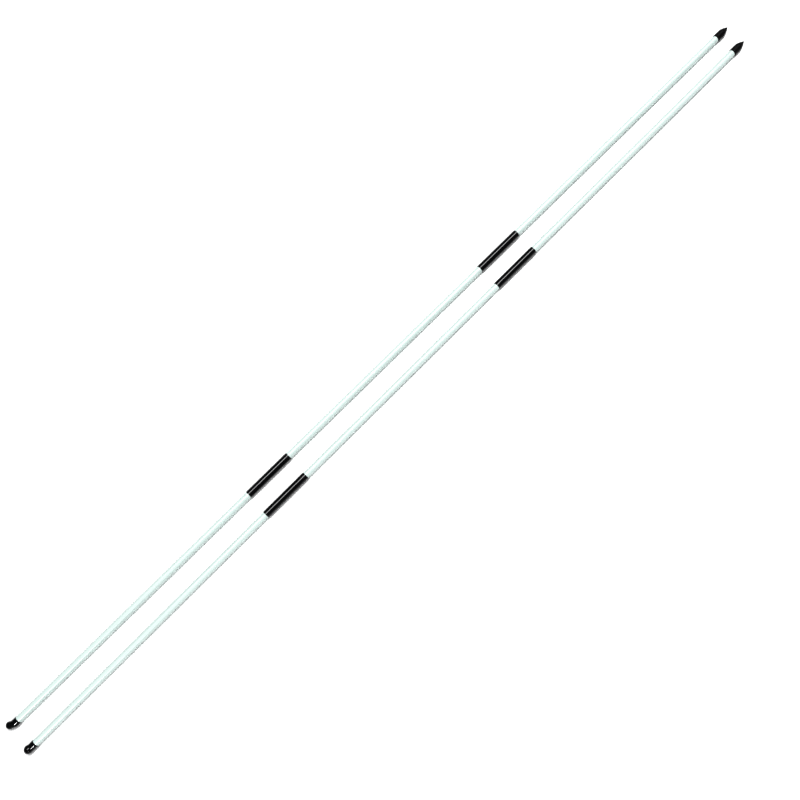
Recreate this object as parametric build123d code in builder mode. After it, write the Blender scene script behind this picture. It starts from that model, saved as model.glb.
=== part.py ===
"""A pair of three-section alignment rods, each held together by an inner shock cord.

Both rods lie on a flat surface at z = 0 with their points towards +X.  All sizes are
in millimetres.  Each rod is built in its own plane, whose x axis is the rod's axis and
whose origin is the far end of its soft end cap, so every place along a rod is a
distance from that end.
"""
from build123d import *
from math import cos, radians, sin
import os

# ---- Driving dimensions -----------------------------------------------------------

# Sections, each measured as it is when the rod is taken apart
lower_section = 440.0       # end cap to the mouth of the lower sleeve
middle_section = 422.0      # plugged-in tube end to the mouth of the upper sleeve
upper_section = 422.0       # plugged-in tube end to the point

# Fibreglass tubes
tube_od = 8.5
tube_bore = 6.0
tube_edge = 0.3             # chamfer that eases a tube end into its sleeve

# Joint sleeves, glued to the section below and slipped over the section above
sleeve_wall = 0.47          # at the slip half
sleeve_slip = 32.5          # how deep the section above plugs in
sleeve_grip = 32.5          # length that is glued over the section below
sleeve_edge = 0.15          # rounding of the sleeve's outer edges
slip_clearance = 0.08       # radial, between a tube and the slip half of its sleeve
bond_gap = 0.02             # radial glue line of everything that is glued or pressed

# Soft end caps, which are dipped and fitted by hand, so the two bulbs differ
cap_length = 15.6
cap_grip = 6.5              # how far the cap is pushed over the tube
cap_floor = 0.8             # thickness of the collar's floor, which the tube's end meets
cap_wall = 0.35             # of the collar, round the tube
cap_lip = 0.15              # how far the lip stands out from the collar
cap_lip_length = 1.2
far_bulb_od = 9.2
far_bulb_offset = 2.5       # sideways set of the bulb, towards +Y
near_bulb_od = 10.2
near_bulb_offset = 0.5

# Ground point
point_length = 22.4         # from the tube's end to the tip
point_barrel = 12.0         # its nearly straight part
point_proud = 0.55          # how far its shoulder stands out from the tube, radially
point_taper = 0.2           # how much slimmer the barrel gets, radially
point_bow = 0.25            # how far the nose bows out from a straight cone
point_tip_radius = 0.5
point_spigot = 12.0         # length that is glued into the tube

# Shock cord and what holds its two ends
cord_od = 2.6
cord_clearance = 0.1        # radial, where the cord passes through a stop
stop_length = 8.0
knot_clearance = 0.4        # radial, between a knot and the tube's bore
knot_length = 5.0
knot_round = 1.2
knot_tail = 4.0             # loose end of the cord beyond each knot
lower_knot_setback = 6.0    # from the tube's lower end to the knot
upper_knot_setback = 18.0   # from the tube's upper end to the knot

# How the pair lies
rod_spacing = 30.9          # between the two axes, at mid-length
near_rod_setback = 1.75     # the near rod lies this much further towards -X
near_rod_turn = 0.24        # degrees by which the near rod is out of parallel

# ---- Sizes that follow from them --------------------------------------------------

tube_radius = tube_od / 2
sleeve_radius = tube_radius + slip_clearance + sleeve_wall
sleeve_length = sleeve_grip + sleeve_slip
collar_radius = tube_radius + bond_gap + cap_wall
lip_radius = collar_radius + cap_lip
far_bulb_radius = far_bulb_od / 2
near_bulb_radius = near_bulb_od / 2
point_radius = tube_radius + point_proud
spigot_radius = tube_bore / 2 - bond_gap
knot_radius = tube_bore / 2 - knot_clearance

# ---- Places along a rod, from the end of its cap ----------------------------------

lower_tube_start = cap_length - cap_grip
cap_neck_end = lower_tube_start - cap_floor
lower_joint = lower_section - sleeve_slip
lower_sleeve_start = lower_joint - sleeve_grip
upper_joint = lower_joint + middle_section - sleeve_slip
upper_sleeve_start = upper_joint - sleeve_grip
rod_length = upper_joint + upper_section
upper_tube_end = rod_length - point_length

lower_knot_start = lower_tube_start + lower_knot_setback
lower_knot_end = lower_knot_start + knot_length
upper_knot_end = upper_tube_end - upper_knot_setback
upper_knot_start = upper_knot_end - knot_length

# ---- Where the two rods lie -------------------------------------------------------

axis_height = sleeve_radius
turn = radians(near_rod_turn)
# The pair's outer sides are the far rod's bulb and the near rod's cap lip, and the origin
# is midway between them on the surface.
near_end_y = -rod_spacing / 2 - rod_length / 2 * sin(turn)
near_lip_side = near_end_y + cap_length * sin(turn) - lip_radius
near_bulb_side = near_end_y + near_bulb_offset - near_bulb_radius
far_bulb_side = rod_spacing / 2 + far_bulb_offset + far_bulb_radius
centre_y = (far_bulb_side + min(near_lip_side, near_bulb_side)) / 2
far_start = (-rod_length / 2 + near_rod_setback / 2, rod_spacing / 2 - centre_y, axis_height)
near_start = (-rod_length / 2 - near_rod_setback / 2, near_end_y - centre_y, axis_height)
far_rod = Plane(origin=far_start, x_dir=(1, 0, 0), z_dir=(0, 0, 1))
near_rod = Plane(origin=near_start, x_dir=(cos(turn), sin(turn), 0), z_dir=(0, 0, 1))

os.makedirs("parts", exist_ok=True)


def across(rod, station):
    """The plane square to a rod's axis at a station, facing the point."""
    return Plane(origin=rod.from_local_coords((station, 0, 0)), x_dir=rod.y_dir, z_dir=rod.x_dir)


def along(rod):
    """The plane through a rod's axis and its vertical, for profiles that are revolved."""
    return Plane(origin=rod.origin, x_dir=rod.x_dir, z_dir=-rod.y_dir)


def axis_of(rod):
    """A rod's axis."""
    return Axis(rod.origin, rod.x_dir)


def save(piece, name):
    """Label a finished piece and write its file."""
    piece.label = name
    export_step(piece, f"parts/{name}.step")


def make_tube(rod, start, end, name):
    """One fibreglass section tube, with both outer edges eased."""
    with BuildPart() as tube:
        with BuildSketch(across(rod, start)):
            Circle(tube_radius)
            Circle(tube_bore / 2, mode=Mode.SUBTRACT)
        extrude(amount=end - start)
        outer_edges = tube.edges().filter_by(GeomType.CIRCLE).group_by(SortBy.RADIUS)[-1]
        chamfer(outer_edges, tube_edge)
    save(tube.part, name)


def make_sleeve(rod, start, name):
    """One joint sleeve, tight on the glued tube and a slip fit on the other."""
    with BuildPart() as sleeve:
        with BuildSketch(across(rod, start)):
            Circle(sleeve_radius)
        extrude(amount=sleeve_length)
        outer_edges = sleeve.edges().filter_by(GeomType.CIRCLE)
        fillet(outer_edges, sleeve_edge)
        with BuildSketch(across(rod, start)):
            Circle(tube_radius + bond_gap)
        extrude(amount=sleeve_grip, mode=Mode.SUBTRACT)
        with BuildSketch(across(rod, start + sleeve_grip)):
            Circle(tube_radius + slip_clearance)
        extrude(amount=sleeve_slip, mode=Mode.SUBTRACT)
    save(sleeve.part, name)


def make_cap(rod, bulb_radius, bulb_offset, name):
    """The soft end cap: a collar with a lip, and a neck that leans over to a round bulb."""
    lip_start = cap_length - cap_lip_length
    # A bulb that is thicker than the sleeves rides up so that it still clears the surface
    bulb_lift = max(0, bulb_radius - sleeve_radius)
    bulb_centre = rod.from_local_coords((bulb_radius, bulb_offset, bulb_lift))
    bulb = Plane(origin=bulb_centre, x_dir=rod.x_dir, z_dir=rod.z_dir)
    with BuildPart() as cap:
        # The collar, solid until its socket is cut, and the lip round its mouth
        with BuildSketch(across(rod, cap_neck_end)):
            Circle(collar_radius)
        extrude(amount=lip_start - cap_neck_end)
        with BuildSketch(across(rod, lip_start)):
            Circle(lip_radius)
        extrude(amount=cap_lip_length)
        # The neck, which leans over from the collar to the widest place of the bulb
        with BuildSketch(across(rod, cap_neck_end)):
            Circle(collar_radius)
        with BuildSketch(across(rod, bulb_radius)):
            with Locations((bulb_offset, bulb_lift)):
                Circle(bulb_radius)
        loft()
        # The bulb's round end
        with BuildSketch(along(bulb)):
            with BuildLine():
                CenterArc((0, 0), bulb_radius, 90, 90)
                Polyline((-bulb_radius, 0), (0, 0), (0, bulb_radius))
            make_face()
        revolve(axis=axis_of(bulb))
        with BuildSketch(across(rod, lower_tube_start)):
            Circle(tube_radius + bond_gap)
        extrude(amount=cap_grip, mode=Mode.SUBTRACT)
    save(cap.part, name)


def make_point(rod, name):
    """The ground point: a spigot in the tube, a tapered barrel and a bowed conical nose."""
    spigot_start = upper_tube_end - point_spigot
    barrel_end = upper_tube_end + point_barrel
    tip_centre = rod_length - point_tip_radius
    with BuildPart() as point:
        with BuildSketch(along(rod)):
            with BuildLine():
                Polyline(
                    (tip_centre, 0),
                    (spigot_start, 0),
                    (spigot_start, spigot_radius),
                    (upper_tube_end, spigot_radius),
                    (upper_tube_end, point_radius),
                    (barrel_end, point_radius - point_taper),
                )
                nose_start = (barrel_end, point_radius - point_taper)
                nose_end = (tip_centre, point_tip_radius)
                SagittaArc(nose_start, nose_end, point_bow)
                Line(nose_end, (tip_centre, 0))
            make_face()
        revolve(axis=axis_of(rod))
        with Locations(rod.from_local_coords((tip_centre, 0, 0))):
            Sphere(point_tip_radius)
    save(point.part, name)


def make_stop(rod, start, name):
    """A bush glued in the tube, with a hole that the cord passes but its knot doesn't."""
    with BuildPart() as stop:
        with BuildSketch(across(rod, start)):
            Circle(spigot_radius)
            Circle(cord_od / 2 + cord_clearance, mode=Mode.SUBTRACT)
        extrude(amount=stop_length)
    save(stop.part, name)


def make_knot(rod, start, tail_side, name):
    """The knot in one end of the cord, with the loose tail that is left beyond it."""
    tail_start = start - knot_tail if tail_side < 0 else start + knot_length
    with BuildPart() as knot:
        with BuildSketch(across(rod, start)):
            Circle(knot_radius)
        extrude(amount=knot_length)
        fillet(knot.edges().filter_by(GeomType.CIRCLE), knot_round)
        with BuildSketch(across(rod, tail_start)):
            Circle(cord_od / 2)
        extrude(amount=knot_tail)
    save(knot.part, name)


def make_cord(rod, start, end, name):
    """The stretch of shock cord that lies in one section."""
    with BuildPart() as cord:
        with BuildSketch(across(rod, start)):
            Circle(cord_od / 2)
        extrude(amount=end - start)
    save(cord.part, name)


make_cap(far_rod, far_bulb_radius, far_bulb_offset, "far_end_cap")
make_cap(near_rod, near_bulb_radius, near_bulb_offset, "near_end_cap")

for rod, side in ((far_rod, "far"), (near_rod, "near")):
    # Lower section: tube, the sleeve glued to its upper end, and the cord's lower end
    make_tube(rod, lower_tube_start, lower_joint, f"{side}_lower_tube")
    make_sleeve(rod, lower_sleeve_start, f"{side}_lower_sleeve")
    make_knot(rod, lower_knot_start, -1, f"{side}_lower_cord_knot")
    make_stop(rod, lower_knot_end, f"{side}_lower_cord_stop")
    make_cord(rod, lower_knot_end, lower_joint, f"{side}_lower_cord")

    # Middle section: tube and the second sleeve
    make_tube(rod, lower_joint, upper_joint, f"{side}_middle_tube")
    make_sleeve(rod, upper_sleeve_start, f"{side}_upper_sleeve")
    make_cord(rod, lower_joint, upper_joint, f"{side}_middle_cord")

    # Upper section: tube and ground point
    make_tube(rod, upper_joint, upper_tube_end, f"{side}_upper_tube")
    make_cord(rod, upper_joint, upper_knot_start, f"{side}_upper_cord")
    make_stop(rod, upper_knot_start - stop_length, f"{side}_upper_cord_stop")
    make_knot(rod, upper_knot_start, 1, f"{side}_upper_cord_knot")
    make_point(rod, f"{side}_ground_point")

print("rod length", rod_length)
print("far rod starts at", far_start)
print("near rod starts at", near_start)
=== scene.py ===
"""Looks of the pair of shock-corded alignment rods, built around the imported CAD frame."""
from math import atan2, cos, pi, radians, sin, sqrt

import bmesh
import bpy
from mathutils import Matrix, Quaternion, Vector


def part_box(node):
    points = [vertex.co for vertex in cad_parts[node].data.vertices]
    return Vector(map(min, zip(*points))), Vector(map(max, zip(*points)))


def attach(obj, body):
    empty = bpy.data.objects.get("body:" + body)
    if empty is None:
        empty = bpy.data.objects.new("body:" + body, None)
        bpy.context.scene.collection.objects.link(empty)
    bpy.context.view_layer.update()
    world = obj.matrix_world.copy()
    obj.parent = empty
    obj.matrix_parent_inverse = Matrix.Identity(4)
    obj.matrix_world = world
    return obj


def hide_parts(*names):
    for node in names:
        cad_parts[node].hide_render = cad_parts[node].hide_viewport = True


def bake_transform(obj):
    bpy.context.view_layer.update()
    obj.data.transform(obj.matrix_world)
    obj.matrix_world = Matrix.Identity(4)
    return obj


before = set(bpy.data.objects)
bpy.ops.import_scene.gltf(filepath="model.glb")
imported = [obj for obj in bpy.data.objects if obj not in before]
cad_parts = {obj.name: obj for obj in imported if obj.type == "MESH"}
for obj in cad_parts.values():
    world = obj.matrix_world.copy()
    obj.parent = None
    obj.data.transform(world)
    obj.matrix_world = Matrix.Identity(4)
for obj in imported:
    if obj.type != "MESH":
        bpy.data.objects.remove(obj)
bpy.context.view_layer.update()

# ---- The table the rods lie on ---------------------------------------------------------
# A sheet of white laminate, wide enough to run past the picture on every side.  The rods
# lie on it loose, so nothing fixes them to it.

TABLE_HALF = 4.0
TABLE_WHITE = (0.95, 0.95, 0.95, 1)
TABLE_SHADE = (0.93, 0.93, 0.93, 1)
TABLE_CLOUDS = (3, 3, 3)


class Socket:
    """A socket of a material's nodes.  Python's operators on it add Math nodes."""

    def __init__(self, tree, plug):
        self.tree = tree
        self.plug = plug

    def node(self, kind, settings, sockets, output=0):
        """Any other node: its settings first, then the values or links of its sockets."""
        made = self.tree.nodes.new(kind)
        for name, value in settings.items():
            setattr(made, name, value)
        for name, value in sockets.items():
            if isinstance(value, Socket):
                self.tree.links.new(value.plug, made.inputs[name])
            else:
                made.inputs[name].default_value = value
        return Socket(self.tree, made.outputs[output])

    def maths(self, operation, first, second):
        return self.node("ShaderNodeMath", {"operation": operation}, {0: first, 1: second})

    def __add__(self, other):
        return self.maths("ADD", self, other)

    __radd__ = __add__

    def __sub__(self, other):
        return self.maths("SUBTRACT", self, other)

    def __rsub__(self, other):
        return self.maths("SUBTRACT", other, self)

    def __mul__(self, other):
        return self.maths("MULTIPLY", self, other)

    __rmul__ = __mul__


class Finish(Socket):
    """A new material.  Its own socket is the place on the piece, in the piece's metres."""

    def __init__(self, name, roughness=0.5, **fixed):
        self.material = bpy.data.materials.new(name)
        self.material.use_nodes = True
        tree = self.material.node_tree
        self.shader = tree.nodes["Principled BSDF"]
        self.shader.inputs["Roughness"].default_value = roughness
        for socket, value in fixed.items():
            self.shader.inputs[socket.replace("_", " ")].default_value = value
        super().__init__(tree, tree.nodes.new("ShaderNodeTexCoord").outputs["Object"])

    def feed(self, socket, value):
        self.tree.links.new(value.plug, self.shader.inputs[socket])

    def stretched(self, scale):
        """The place on the piece, with each direction scaled by its own amount."""
        return self.node("ShaderNodeVectorMath", {"operation": "MULTIPLY"}, {0: self, 1: scale})

    def noise(self, scale, detail=2.0, roughness=0.5):
        """Noise from 0 to 1, with as many waves to a metre in each direction as scale says."""
        place = self.stretched(scale)
        sockets = {"Vector": place, "Scale": 1.0, "Detail": detail, "Roughness": roughness}
        return self.node("ShaderNodeTexNoise", {}, sockets)

    def ramp(self, value, low, high):
        """0 where value is below low, 1 where it is above high, and smooth between."""
        settings = {"interpolation_type": "SMOOTHSTEP"}
        sockets = {"Value": value, "From Min": low, "From Max": high, "To Min": 0.0, "To Max": 1.0}
        return self.node("ShaderNodeMapRange", settings, sockets)

    def tint(self, amount, colour, other):
        """A colour that turns from one to the other as amount goes from 0 to 1."""
        # Sockets 6 and 7 are the two colours, and output 2 is the mixed one
        sockets = {"Factor": amount, 6: colour, 7: other}
        return self.node("ShaderNodeMix", {"data_type": "RGBA"}, sockets, output=2)

    def bump(self, height, depth):
        """Relief of a height from 0 to 1, which stands out by depth in metres."""
        self.feed("Normal", self.node("ShaderNodeBump", {}, {"Height": height, "Distance": depth}))


def new_piece(name, mesh):
    """A new object of a finished bmesh, smooth all over."""
    for face in mesh.faces:
        face.smooth = True
    data = bpy.data.meshes.new(name)
    mesh.to_mesh(data)
    mesh.free()
    piece = bpy.data.objects.new(name, data)
    bpy.context.scene.collection.objects.link(piece)
    return piece


table_finish = Finish("table_laminate", roughness=0.6)
table_clouds = table_finish.noise(TABLE_CLOUDS)
table_finish.feed("Base Color", table_finish.tint(table_clouds, TABLE_WHITE, TABLE_SHADE))
table_mesh = bmesh.new()
table_turns = ((-1, -1), (1, -1), (1, 1), (-1, 1))
table_corners = [(x * TABLE_HALF, y * TABLE_HALF, 0) for x, y in table_turns]
table_mesh.faces.new([table_mesh.verts.new(corner) for corner in table_corners])
table = new_piece("table", table_mesh)
table.data.materials.append(table_finish.material)

# ---- Studio light and camera -----------------------------------------------------------
# A long soft box hangs nearly overhead, a little to the far side, and a small strong one
# beyond the caps on the near side.  Dim walls fill in a little.  The camera stands over the
# near side, with the rods running up to the right.

LAMPS = {
    # name: (where it hangs, its length and width, its power in watts)
    "long_soft_box": ((1.30, 0.84, 4.50), (4.2, 1.6), 300),
    "small_soft_box": ((-2.02, -2.60, 2.93), (0.28, 0.28), 85),
}
WALLS = (0.125, 0.128, 0.132, 1)
CONTRAST = 0.75
CAMERA_AIM = Vector((-0.02865, -0.031195, 0.0048))
CAMERA_DISTANCE = 1.19014
CAMERA_HEADING = radians(61.872)
CAMERA_DOWNWARD = radians(74.947)
CAMERA_ROLL = radians(-17.281)
LENS_MM = 45
SENSOR_MM = 36
NEAREST_SEEN = 0.01

world = bpy.data.worlds.new("studio")
world.use_nodes = True
world.node_tree.nodes["Background"].inputs["Color"].default_value = WALLS
bpy.context.scene.world = world
bpy.context.scene.view_settings.view_transform = "Standard"
bpy.context.scene.view_settings.gamma = CONTRAST

for name, (place, size, power) in LAMPS.items():
    light = bpy.data.lights.new(name, "AREA")
    light.shape = "RECTANGLE"
    light.size, light.size_y = size
    light.energy = power
    lamp = bpy.data.objects.new(name, light)
    lamp.location = place
    # Facing the rods, with its length along X
    lamp.rotation_euler = (-atan2(place[1], place[2]), 0, 0)
    bpy.context.scene.collection.objects.link(lamp)

gaze = Vector((
    cos(CAMERA_DOWNWARD) * cos(CAMERA_HEADING),
    cos(CAMERA_DOWNWARD) * sin(CAMERA_HEADING),
    -sin(CAMERA_DOWNWARD),
))
camera = bpy.data.objects.new("camera", bpy.data.cameras.new("camera"))
camera.data.lens = LENS_MM
camera.data.sensor_width = SENSOR_MM
camera.data.clip_start = NEAREST_SEEN
camera.location = CAMERA_AIM - gaze * CAMERA_DISTANCE
camera.rotation_mode = "QUATERNION"
camera.rotation_quaternion = gaze.to_track_quat("-Z", "Y") @ Quaternion((0, 0, 1), CAMERA_ROLL)
bpy.context.scene.collection.objects.link(camera)
bpy.context.scene.camera = camera

# ---- Section tubes ---------------------------------------------------------------------
# Pultruded fibreglass: long glass rovings drawn through a die with white polyester resin,
# so the faint fibre lines run along the tube.  The end that slips into a sleeve is rubbed.

SIDES = ("far", "near")
TUBE_WHITE = (0.625, 0.715, 0.690, 1)
TUBE_FIBRE = (0.580, 0.675, 0.645, 1)
TUBE_RUB = (0.50, 0.52, 0.51, 1)
SLIP_DEPTH = 0.0325
SLIP_RUBBED = SLIP_DEPTH * 0.8


def dress(node, material):
    """A CAD piece's own mesh takes the material in place of any that it has."""
    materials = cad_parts[node].data.materials
    materials.clear()
    materials.append(material)


def tube_finish(name, slip_end):
    """White gloss over glass fibre, rubbed for the slip depth from slip_end along X."""
    finish = Finish(name, Coat_Weight=0.35, Coat_Roughness=0.08, IOR=1.52)
    rovings = finish.noise((4, 1500, 1500), detail=3.0)
    veil = finish.noise((60, 420, 420), detail=3.0)
    colour = finish.tint(finish.ramp(rovings, 0.42, 0.78) * 0.8, TUBE_WHITE, TUBE_FIBRE)
    scuffs = finish.ramp(finish.noise((900, 260, 260), detail=4.0, roughness=0.65), 0.60, 0.72)
    worn = scuffs * 0.12
    if slip_end is not None:
        along = finish.node("ShaderNodeSeparateXYZ", {}, {"Vector": finish})
        rubbed = 1 - finish.ramp(along, slip_end + SLIP_RUBBED, slip_end + SLIP_DEPTH)
        scrapes = finish.ramp(finish.noise((35, 2600, 2600), detail=4.0), 0.38, 0.66)
        worn = worn + rubbed * scrapes * 0.55
    finish.feed("Base Color", finish.tint(worn, colour, TUBE_RUB))
    finish.feed("Roughness", 0.20 + veil * 0.14 + worn * 0.35)
    finish.bump(rovings * 0.7 + veil * 0.3, depth=0.00003)
    return finish.material


for side in SIDES:
    for section in ("lower", "middle", "upper"):
        node = f"{side}_{section}_tube"
        slip_end = None if section == "lower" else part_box(node)[0].x
        dress(node, tube_finish(f"{node}_fibreglass", slip_end))

# ---- Joint sleeves ---------------------------------------------------------------------
# A short black sleeve drawn from hard plastic tube and glued over the top of the section
# below.  Handling has dulled it in fine rings near its two ends, and its edges are worn.

SLEEVE_BLACK = (0.0012, 0.0014, 0.0020, 1)
SLEEVE_WORN = (0.030, 0.031, 0.034, 1)
SLEEVE_RIM = 0.0016
SLEEVE_HANDLED = 0.012


def sleeve_finish(name, start, end):
    """Gloss black, worn at its two ends, which are at start and end along X."""
    finish = Finish(name, IOR=1.50)
    along = finish.node("ShaderNodeSeparateXYZ", {}, {"Vector": finish})
    to_rim = finish.maths("MINIMUM", along - start, end - along)
    handled = 1 - finish.ramp(to_rim, 0, SLEEVE_HANDLED)
    rim = 1 - finish.ramp(to_rim, 0, SLEEVE_RIM)
    smears = finish.noise((160, 300, 300), detail=4.0, roughness=0.6)
    rings = finish.noise((5200, 60, 60), detail=2.0)
    scratches = finish.ramp(finish.noise((45, 3200, 3200), detail=3.0), 0.64, 0.72)
    worn = rim * finish.ramp(smears, 0.40, 0.62) * 0.8 + handled * scratches * 0.35
    finish.feed("Base Color", finish.tint(worn, SLEEVE_BLACK, SLEEVE_WORN))
    finish.feed("Roughness", 0.09 + smears * 0.08 + handled * rings * 0.10 + worn * 0.25)
    finish.bump(rings * 0.4 + smears * 0.4 + scratches * 0.2, depth=0.00002)
    return finish.material


for side in SIDES:
    for section in ("lower", "upper"):
        node = f"{side}_{section}_sleeve"
        low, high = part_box(node)
        dress(node, sleeve_finish(f"{node}_black", low.x, high.x))

# ---- Ground points ---------------------------------------------------------------------
# One matte black moulding of glass-filled nylon, with a spigot that is glued into the
# upper tube.  Its skin has the fine grain of the mould, and soil has scoured the nose.

POINT_BLACK = (0.0020, 0.0020, 0.0024, 1)
POINT_SCOURED = (0.045, 0.044, 0.042, 1)
POINT_CLEAN = 0.45


def point_finish(name, shoulder, tip):
    """Matte black with mould grain, scoured from the shoulder at X towards the tip at X."""
    finish = Finish(name, IOR=1.30)
    along = finish.node("ShaderNodeSeparateXYZ", {}, {"Vector": finish})
    nose = finish.ramp(along, shoulder + (tip - shoulder) * POINT_CLEAN, tip)
    grain = finish.noise((3800, 3800, 3800), detail=3.0, roughness=0.6)
    patches = finish.noise((420, 420, 420), detail=4.0, roughness=0.6)
    scrapes = finish.ramp(finish.noise((260, 2600, 2600), detail=3.0), 0.56, 0.68)
    scoured = nose * (0.35 * scrapes + 0.25 * finish.ramp(patches, 0.5, 0.7))
    finish.feed("Base Color", finish.tint(scoured, POINT_BLACK, POINT_SCOURED))
    finish.feed("Roughness", 0.46 + patches * 0.16 + scoured * 0.2)
    finish.bump(grain * 0.5 + scrapes * nose * 0.5, depth=0.00005)
    return finish.material


for side in SIDES:
    node = f"{side}_ground_point"
    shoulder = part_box(f"{side}_upper_tube")[1].x
    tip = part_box(node)[1].x
    dress(node, point_finish(f"{node}_nylon", shoulder, tip))

# ---- End caps --------------------------------------------------------------------------
# Soft vinyl, dipped on a former and pulled over the tube's lower end by hand, where it
# grips by itself.  Its closed end is a thick round bulb that sits a little to one side.

CAP_BLACK = (0.0012, 0.0014, 0.0020, 1)
CAP_BLOOM = (0.010, 0.011, 0.014, 1)
CAP_LENGTH = 0.0156
CAP_GRIP = 0.0065
CAP_LIP_BACK = 0.0016
CAP_BORE = 0.00427
CAP_LIP = 0.00477
SLEEVE_RADIUS = 0.0048
CAP_BULB_REACH = 0.0054
CAP_BULB_STRAIGHT = 0.0040
CAP_BULB_SHIFT = 0.0060
CAP_WOBBLE = 0.00001
CAP_WOBBLE_WAVES = 2600
CAP_WOBBLE_FROM = 0.007
CAP_WOBBLE_RISE = 0.002
CAP_BULB_RINGS = 9
CAP_COLLAR_RINGS = 10
CAP_SIDES = 32


def middle_of(node):
    low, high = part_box(node)
    return (low + high) / 2


def rod_axis(side):
    """Where a rod's axis starts, level with the end of its cap, and which way it runs."""
    lower = middle_of(f"{side}_lower_tube")
    along = (middle_of(f"{side}_upper_tube") - lower).normalized()
    cap_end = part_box(f"{side}_end_cap")[0].x
    return lower + along * ((cap_end - lower.x) / along.x), along


def smooth(value):
    """0 below 0, 1 above 1, and smooth between."""
    held = min(max(value, 0), 1)
    return held * held * (3 - 2 * held)


def add_ring(mesh, side, station, radius, across=0.0, lift=0.0, sides=CAP_SIDES, ripple=None):
    """A ring of points round a rod's axis.  ripple gives each point's own radius."""
    start, along = rod_axes[side]
    beside = Vector((-along.y, along.x, 0))
    centre = start + along * station + beside * across + Vector((0, 0, lift))
    ring = []
    for number in range(sides):
        angle = 2 * pi * number / sides
        reach = radius if ripple is None else ripple(station, angle)
        outward = beside * cos(angle) + Vector((0, 0, sin(angle)))
        ring.append(mesh.verts.new(centre + outward * reach))
    return ring


def skin(mesh, rings):
    """Faces between each ring and the next."""
    for ring, following in zip(rings, rings[1:]):
        for number in range(len(ring)):
            after = (number + 1) % len(ring)
            mesh.faces.new((ring[number], following[number], following[after], ring[after]))


def close(mesh, ring, point):
    """A fan of faces from a ring to one point."""
    hub = mesh.verts.new(point)
    for number in range(len(ring)):
        mesh.faces.new((ring[number], ring[(number + 1) % len(ring)], hub))


def make_end_cap(side, bulb_radius, bulb_offset, collar_radius):
    """The cap as one closed skin, from the bulb's pole to the lip and back inside the collar."""

    def radius_at(station):
        if station < CAP_BULB_REACH:
            return bulb_radius * sqrt(1 - (1 - station / CAP_BULB_REACH) ** 2)
        waist = smooth((station - CAP_BULB_REACH) / (CAP_LENGTH - CAP_GRIP - CAP_BULB_REACH))
        return bulb_radius + (collar_radius - bulb_radius) * waist

    def offset_at(station):
        return bulb_offset * (1 - smooth((station - CAP_BULB_STRAIGHT) / CAP_BULB_SHIFT))

    def wobble(station):
        """The hand-dipped collar isn't quite even."""
        rise = smooth((station - CAP_WOBBLE_FROM) / CAP_WOBBLE_RISE)
        return CAP_WOBBLE * sin(station * CAP_WOBBLE_WAVES) * rise

    mesh = bmesh.new()
    rings = []
    stations = []
    for step in range(1, CAP_BULB_RINGS + 1):
        stations.append(CAP_BULB_REACH * (1 - cos(pi / 2 * step / CAP_BULB_RINGS)))
    collar = CAP_LENGTH - CAP_LIP_BACK - CAP_BULB_REACH
    for step in range(1, CAP_COLLAR_RINGS + 1):
        stations.append(CAP_BULB_REACH + collar * step / CAP_COLLAR_RINGS)
    for station in stations:
        radius = radius_at(station) + wobble(station)
        lift = max(0, radius - SLEEVE_RADIUS)
        rings.append(add_ring(mesh, side, station, radius, offset_at(station), lift))
    # The rolled lip, the mouth, and the inside down to the tube's end
    # Each is how far back from the mouth, and the radius there
    lip_turn = (
        (0.0013, collar_radius + 0.00002), (0.0010, CAP_LIP - 0.00003), (0.0006, CAP_LIP),
        (0.0003, CAP_LIP), (0.0001, CAP_LIP - 0.00008), (0, CAP_LIP - 0.0002),
        (0, CAP_BORE + 0.0001), (0.0001, CAP_BORE), (0.0020, CAP_BORE),
        (CAP_GRIP - 0.0002, CAP_BORE), (CAP_GRIP, CAP_BORE - 0.0002),
    )
    rings += [add_ring(mesh, side, CAP_LENGTH - back, radius) for back, radius in lip_turn]
    skin(mesh, rings)
    start, along = rod_axes[side]
    beside = Vector((-along.y, along.x, 0))
    pole_lift = max(0, radius_at(0) - SLEEVE_RADIUS)
    close(mesh, rings[0], start + beside * offset_at(0) + Vector((0, 0, pole_lift)))
    close(mesh, rings[-1], start + along * (CAP_LENGTH - CAP_GRIP))
    bmesh.ops.recalc_face_normals(mesh, faces=mesh.faces)
    cap = new_piece(f"{side}_dipped_cap", mesh)
    rounding = cap.modifiers.new("rounding", "SUBSURF")
    rounding.levels = rounding.render_levels = 1
    return cap


cap_finish = Finish("cap_vinyl", IOR=1.45)
cap_flow = cap_finish.noise((260, 340, 340), detail=2.0)
cap_skin = cap_finish.noise((1500, 1500, 1500), detail=2.0)
cap_specks = cap_finish.noise((900, 900, 900), detail=5.0, roughness=0.7)
cap_dust = cap_finish.ramp(cap_specks, 0.58, 0.76)
cap_finish.feed("Base Color", cap_finish.tint(cap_dust * 0.5, CAP_BLACK, CAP_BLOOM))
cap_finish.feed("Roughness", 0.10 + cap_flow * 0.10 + cap_dust * 0.2)
cap_finish.bump(cap_flow * 0.75 + cap_skin * 0.25, depth=0.00007)

rod_axes = {side: rod_axis(side) for side in SIDES}
end_caps = {
    "far": make_end_cap("far", bulb_radius=0.0049, bulb_offset=0.00225, collar_radius=0.00470),
    "near": make_end_cap("near", bulb_radius=0.0051, bulb_offset=0.00050, collar_radius=0.00464),
}
for side, cap in end_caps.items():
    cap.data.materials.append(cap_finish.material)
    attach(cap, f"{side}_lower_section")
    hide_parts(f"{side}_end_cap")

# ---- Shock cord ------------------------------------------------------------------------
# Strands of latex in a woven nylon sheath, one cord from end to end of the rod.  Each
# section holds one stretch of it, and only the middle stretch is attached to its section.

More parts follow.
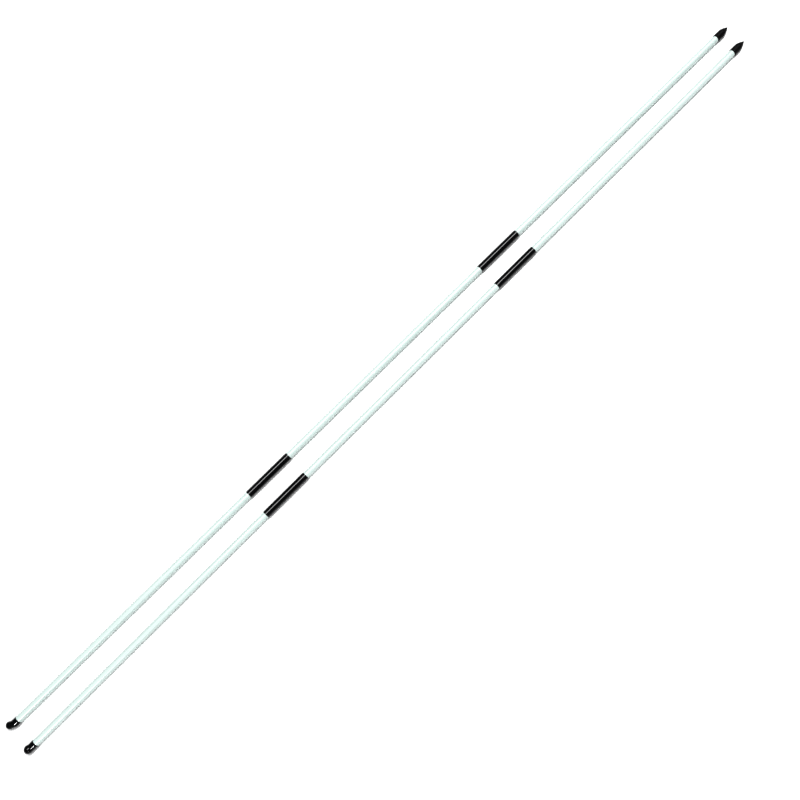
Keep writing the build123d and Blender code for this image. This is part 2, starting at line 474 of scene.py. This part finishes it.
CORD_RADIUS = 0.0013
CORD_YARN_DEPTH = 0.00012
CORD_PICK = 0.0056
CORD_CARRIERS = 4
CORD_SIDES = 16
CORD_STEP = 0.0007
STOP_HALF = 0.004
CORD_DARK = (0.014, 0.014, 0.016, 1)
CORD_LIGHT = (0.055, 0.056, 0.062, 1)


def sheath_radius(station, angle):
    """The woven sheath: yarns that wind both ways and leave a hollow where they cross."""
    twist = 2 * pi * station / CORD_PICK
    one_way = cos(CORD_CARRIERS * angle + twist)
    other_way = cos(CORD_CARRIERS * angle - twist)
    return CORD_RADIUS - CORD_YARN_DEPTH * (1 - one_way * other_way) / 2


def station_of(side, point):
    """How far along the rod's axis a place is, from the cap's end."""
    start, along = rod_axes[side]
    return (point - start).dot(along)


def make_cord(side, section, begin, end):
    """A stretch of the cord, with its two ends closed."""
    mesh = bmesh.new()
    steps = round((end - begin) / CORD_STEP)
    stations = [begin + (end - begin) * step / steps for step in range(steps + 1)]
    rings = [
        add_ring(mesh, side, station, CORD_RADIUS, sides=CORD_SIDES, ripple=sheath_radius)
        for station in stations
    ]
    skin(mesh, rings)
    start, along = rod_axes[side]
    close(mesh, rings[0], start + along * begin)
    close(mesh, rings[-1], start + along * end)
    bmesh.ops.recalc_face_normals(mesh, faces=mesh.faces)
    return new_piece(f"{side}_{section}_sheathed_cord", mesh)


cord_finish = Finish("shock_cord", Sheen_Weight=0.25, Sheen_Roughness=0.5)
cord_yarn = cord_finish.noise((2600, 2600, 2600), detail=3.0)
cord_fleck = cord_finish.ramp(cord_finish.noise((700, 900, 900), detail=2.0), 0.52, 0.60)
cord_mottle = cord_fleck * 0.6 + cord_yarn * 0.3
cord_finish.feed("Base Color", cord_finish.tint(cord_mottle, CORD_DARK, CORD_LIGHT))
cord_finish.feed("Roughness", 0.70 + cord_yarn * 0.2)
cord_finish.bump(cord_yarn, depth=0.00008)

for side in SIDES:
    start, along = rod_axes[side]
    stops = {
        "lower": station_of(side, middle_of(f"{side}_lower_cord_stop")) - STOP_HALF,
        "upper": station_of(side, middle_of(f"{side}_upper_cord_stop")) + STOP_HALF,
    }
    joints = {
        "lower": station_of(side, middle_of(f"{side}_lower_sleeve")),
        "upper": station_of(side, middle_of(f"{side}_upper_sleeve")),
    }
    runs = {
        "lower": make_cord(side, "lower", stops["lower"], joints["lower"]),
        "middle": make_cord(side, "middle", joints["lower"], joints["upper"]),
        "upper": make_cord(side, "upper", joints["upper"], stops["upper"]),
    }
    for section, run in runs.items():
        run.data.materials.append(cord_finish.material)
        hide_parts(f"{side}_{section}_cord")
    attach(runs["middle"], f"{side}_middle_section")
    for section in ("lower", "upper"):
        held = start + along * stops[section]
        free = start + along * joints[section]
        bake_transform(runs[section])

# ---- Cord stops ------------------------------------------------------------------------
# A bush turned from natural nylon rod and glued inside the tube.  The cord passes through
# its hole, and the knot behind it can't.

STOP_CREAM = (0.70, 0.68, 0.60, 1)
STOP_WHITE = (0.80, 0.79, 0.74, 1)

stop_finish = Finish("stop_nylon", IOR=1.53)
stop_rings = stop_finish.noise((9000, 120, 120), detail=1.0)
stop_cloud = stop_finish.noise((300, 300, 300), detail=3.0)
stop_finish.feed("Base Color", stop_finish.tint(stop_cloud, STOP_CREAM, STOP_WHITE))
stop_finish.feed("Roughness", 0.38 + stop_rings * 0.15)
stop_finish.bump(stop_rings, depth=0.00002)
for side in SIDES:
    for section in ("lower", "upper"):
        dress(f"{side}_{section}_cord_stop", stop_finish.material)

# ---- Cord knots ------------------------------------------------------------------------
# The cord's end tied in an overhand knot, pulled down hard so that it fits the tube, with
# the loose tail left beyond it and its cut end sealed.

KNOT_LENGTH = 0.005
KNOT_TAIL = 0.004
KNOT_STRAND = 0.00085
KNOT_SWEEP = 1.95
KNOT_WIDTH = 0.00045
KNOT_DEPTH = 0.00095
KNOT_RISE = 1.6
KNOT_STEPS = 48
KNOT_TAIL_STEPS = 6
KNOT_SIDES = 12
# Shares of the cord's radius: at the stop, at the tail's start, and gained at each step
NECK_SHARE = 0.9
TAIL_SHARE = 0.75
TAIL_SWELL = 0.1


def knot_line(outward):
    """The knot's line as (along, across, up, strand radius), from stop to tail end."""
    line = [(0, 0, 0, CORD_RADIUS * NECK_SHARE)]
    for step in range(KNOT_STEPS + 1):
        t = KNOT_SWEEP * (2 * step / KNOT_STEPS - 1)
        lengthwise = KNOT_LENGTH / 2 + KNOT_DEPTH * (t ** 5 / 5 - 2 * t)
        across = KNOT_WIDTH * (t ** 3 - 3 * t)
        up = KNOT_WIDTH * (t ** 4 - 4 * t ** 2 + KNOT_RISE)
        line.append((lengthwise, across, up, KNOT_STRAND))
    for step in range(KNOT_TAIL_STEPS + 1):
        lengthwise = KNOT_LENGTH + KNOT_TAIL * step / KNOT_TAIL_STEPS
        line.append((lengthwise, 0, 0, CORD_RADIUS * min(1, TAIL_SHARE + TAIL_SWELL * step)))
    return [(outward * lengthwise, across, up, radius) for lengthwise, across, up, radius in line]


def make_knot(side, section, station, outward):
    """A round strand swept along the knot's line, from the stop out to the tail's end."""
    start, along = rod_axes[side]
    beside = Vector((-along.y, along.x, 0))
    places, radii = [], []
    for lengthwise, across, up, radius in knot_line(outward):
        sideways = beside * across + Vector((0, 0, up))
        places.append(start + along * (station + lengthwise) + sideways)
        radii.append(radius)
    mesh = bmesh.new()
    rings = []
    square = beside
    for number, (place, radius) in enumerate(zip(places, radii)):
        ahead = places[min(number + 1, len(places) - 1)] - places[max(number - 1, 0)]
        heading = ahead.normalized()
        square = (square - heading * square.dot(heading)).normalized()
        other = heading.cross(square)
        ring = []
        for corner in range(KNOT_SIDES):
            angle = 2 * pi * corner / KNOT_SIDES
            outwards = square * cos(angle) + other * sin(angle)
            ring.append(mesh.verts.new(place + outwards * radius))
        rings.append(ring)
    skin(mesh, rings)
    close(mesh, rings[0], places[0])
    close(mesh, rings[-1], places[-1])
    bmesh.ops.recalc_face_normals(mesh, faces=mesh.faces)
    return new_piece(f"{side}_{section}_knot", mesh)


for side in SIDES:
    for section, outward in (("lower", -1), ("upper", 1)):
        stop_middle = station_of(side, middle_of(f"{side}_{section}_cord_stop"))
        knot = make_knot(side, section, stop_middle + outward * STOP_HALF, outward)
        knot.data.materials.append(cord_finish.material)
        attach(knot, f"{side}_{section}_section")
        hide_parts(f"{side}_{section}_cord_knot")
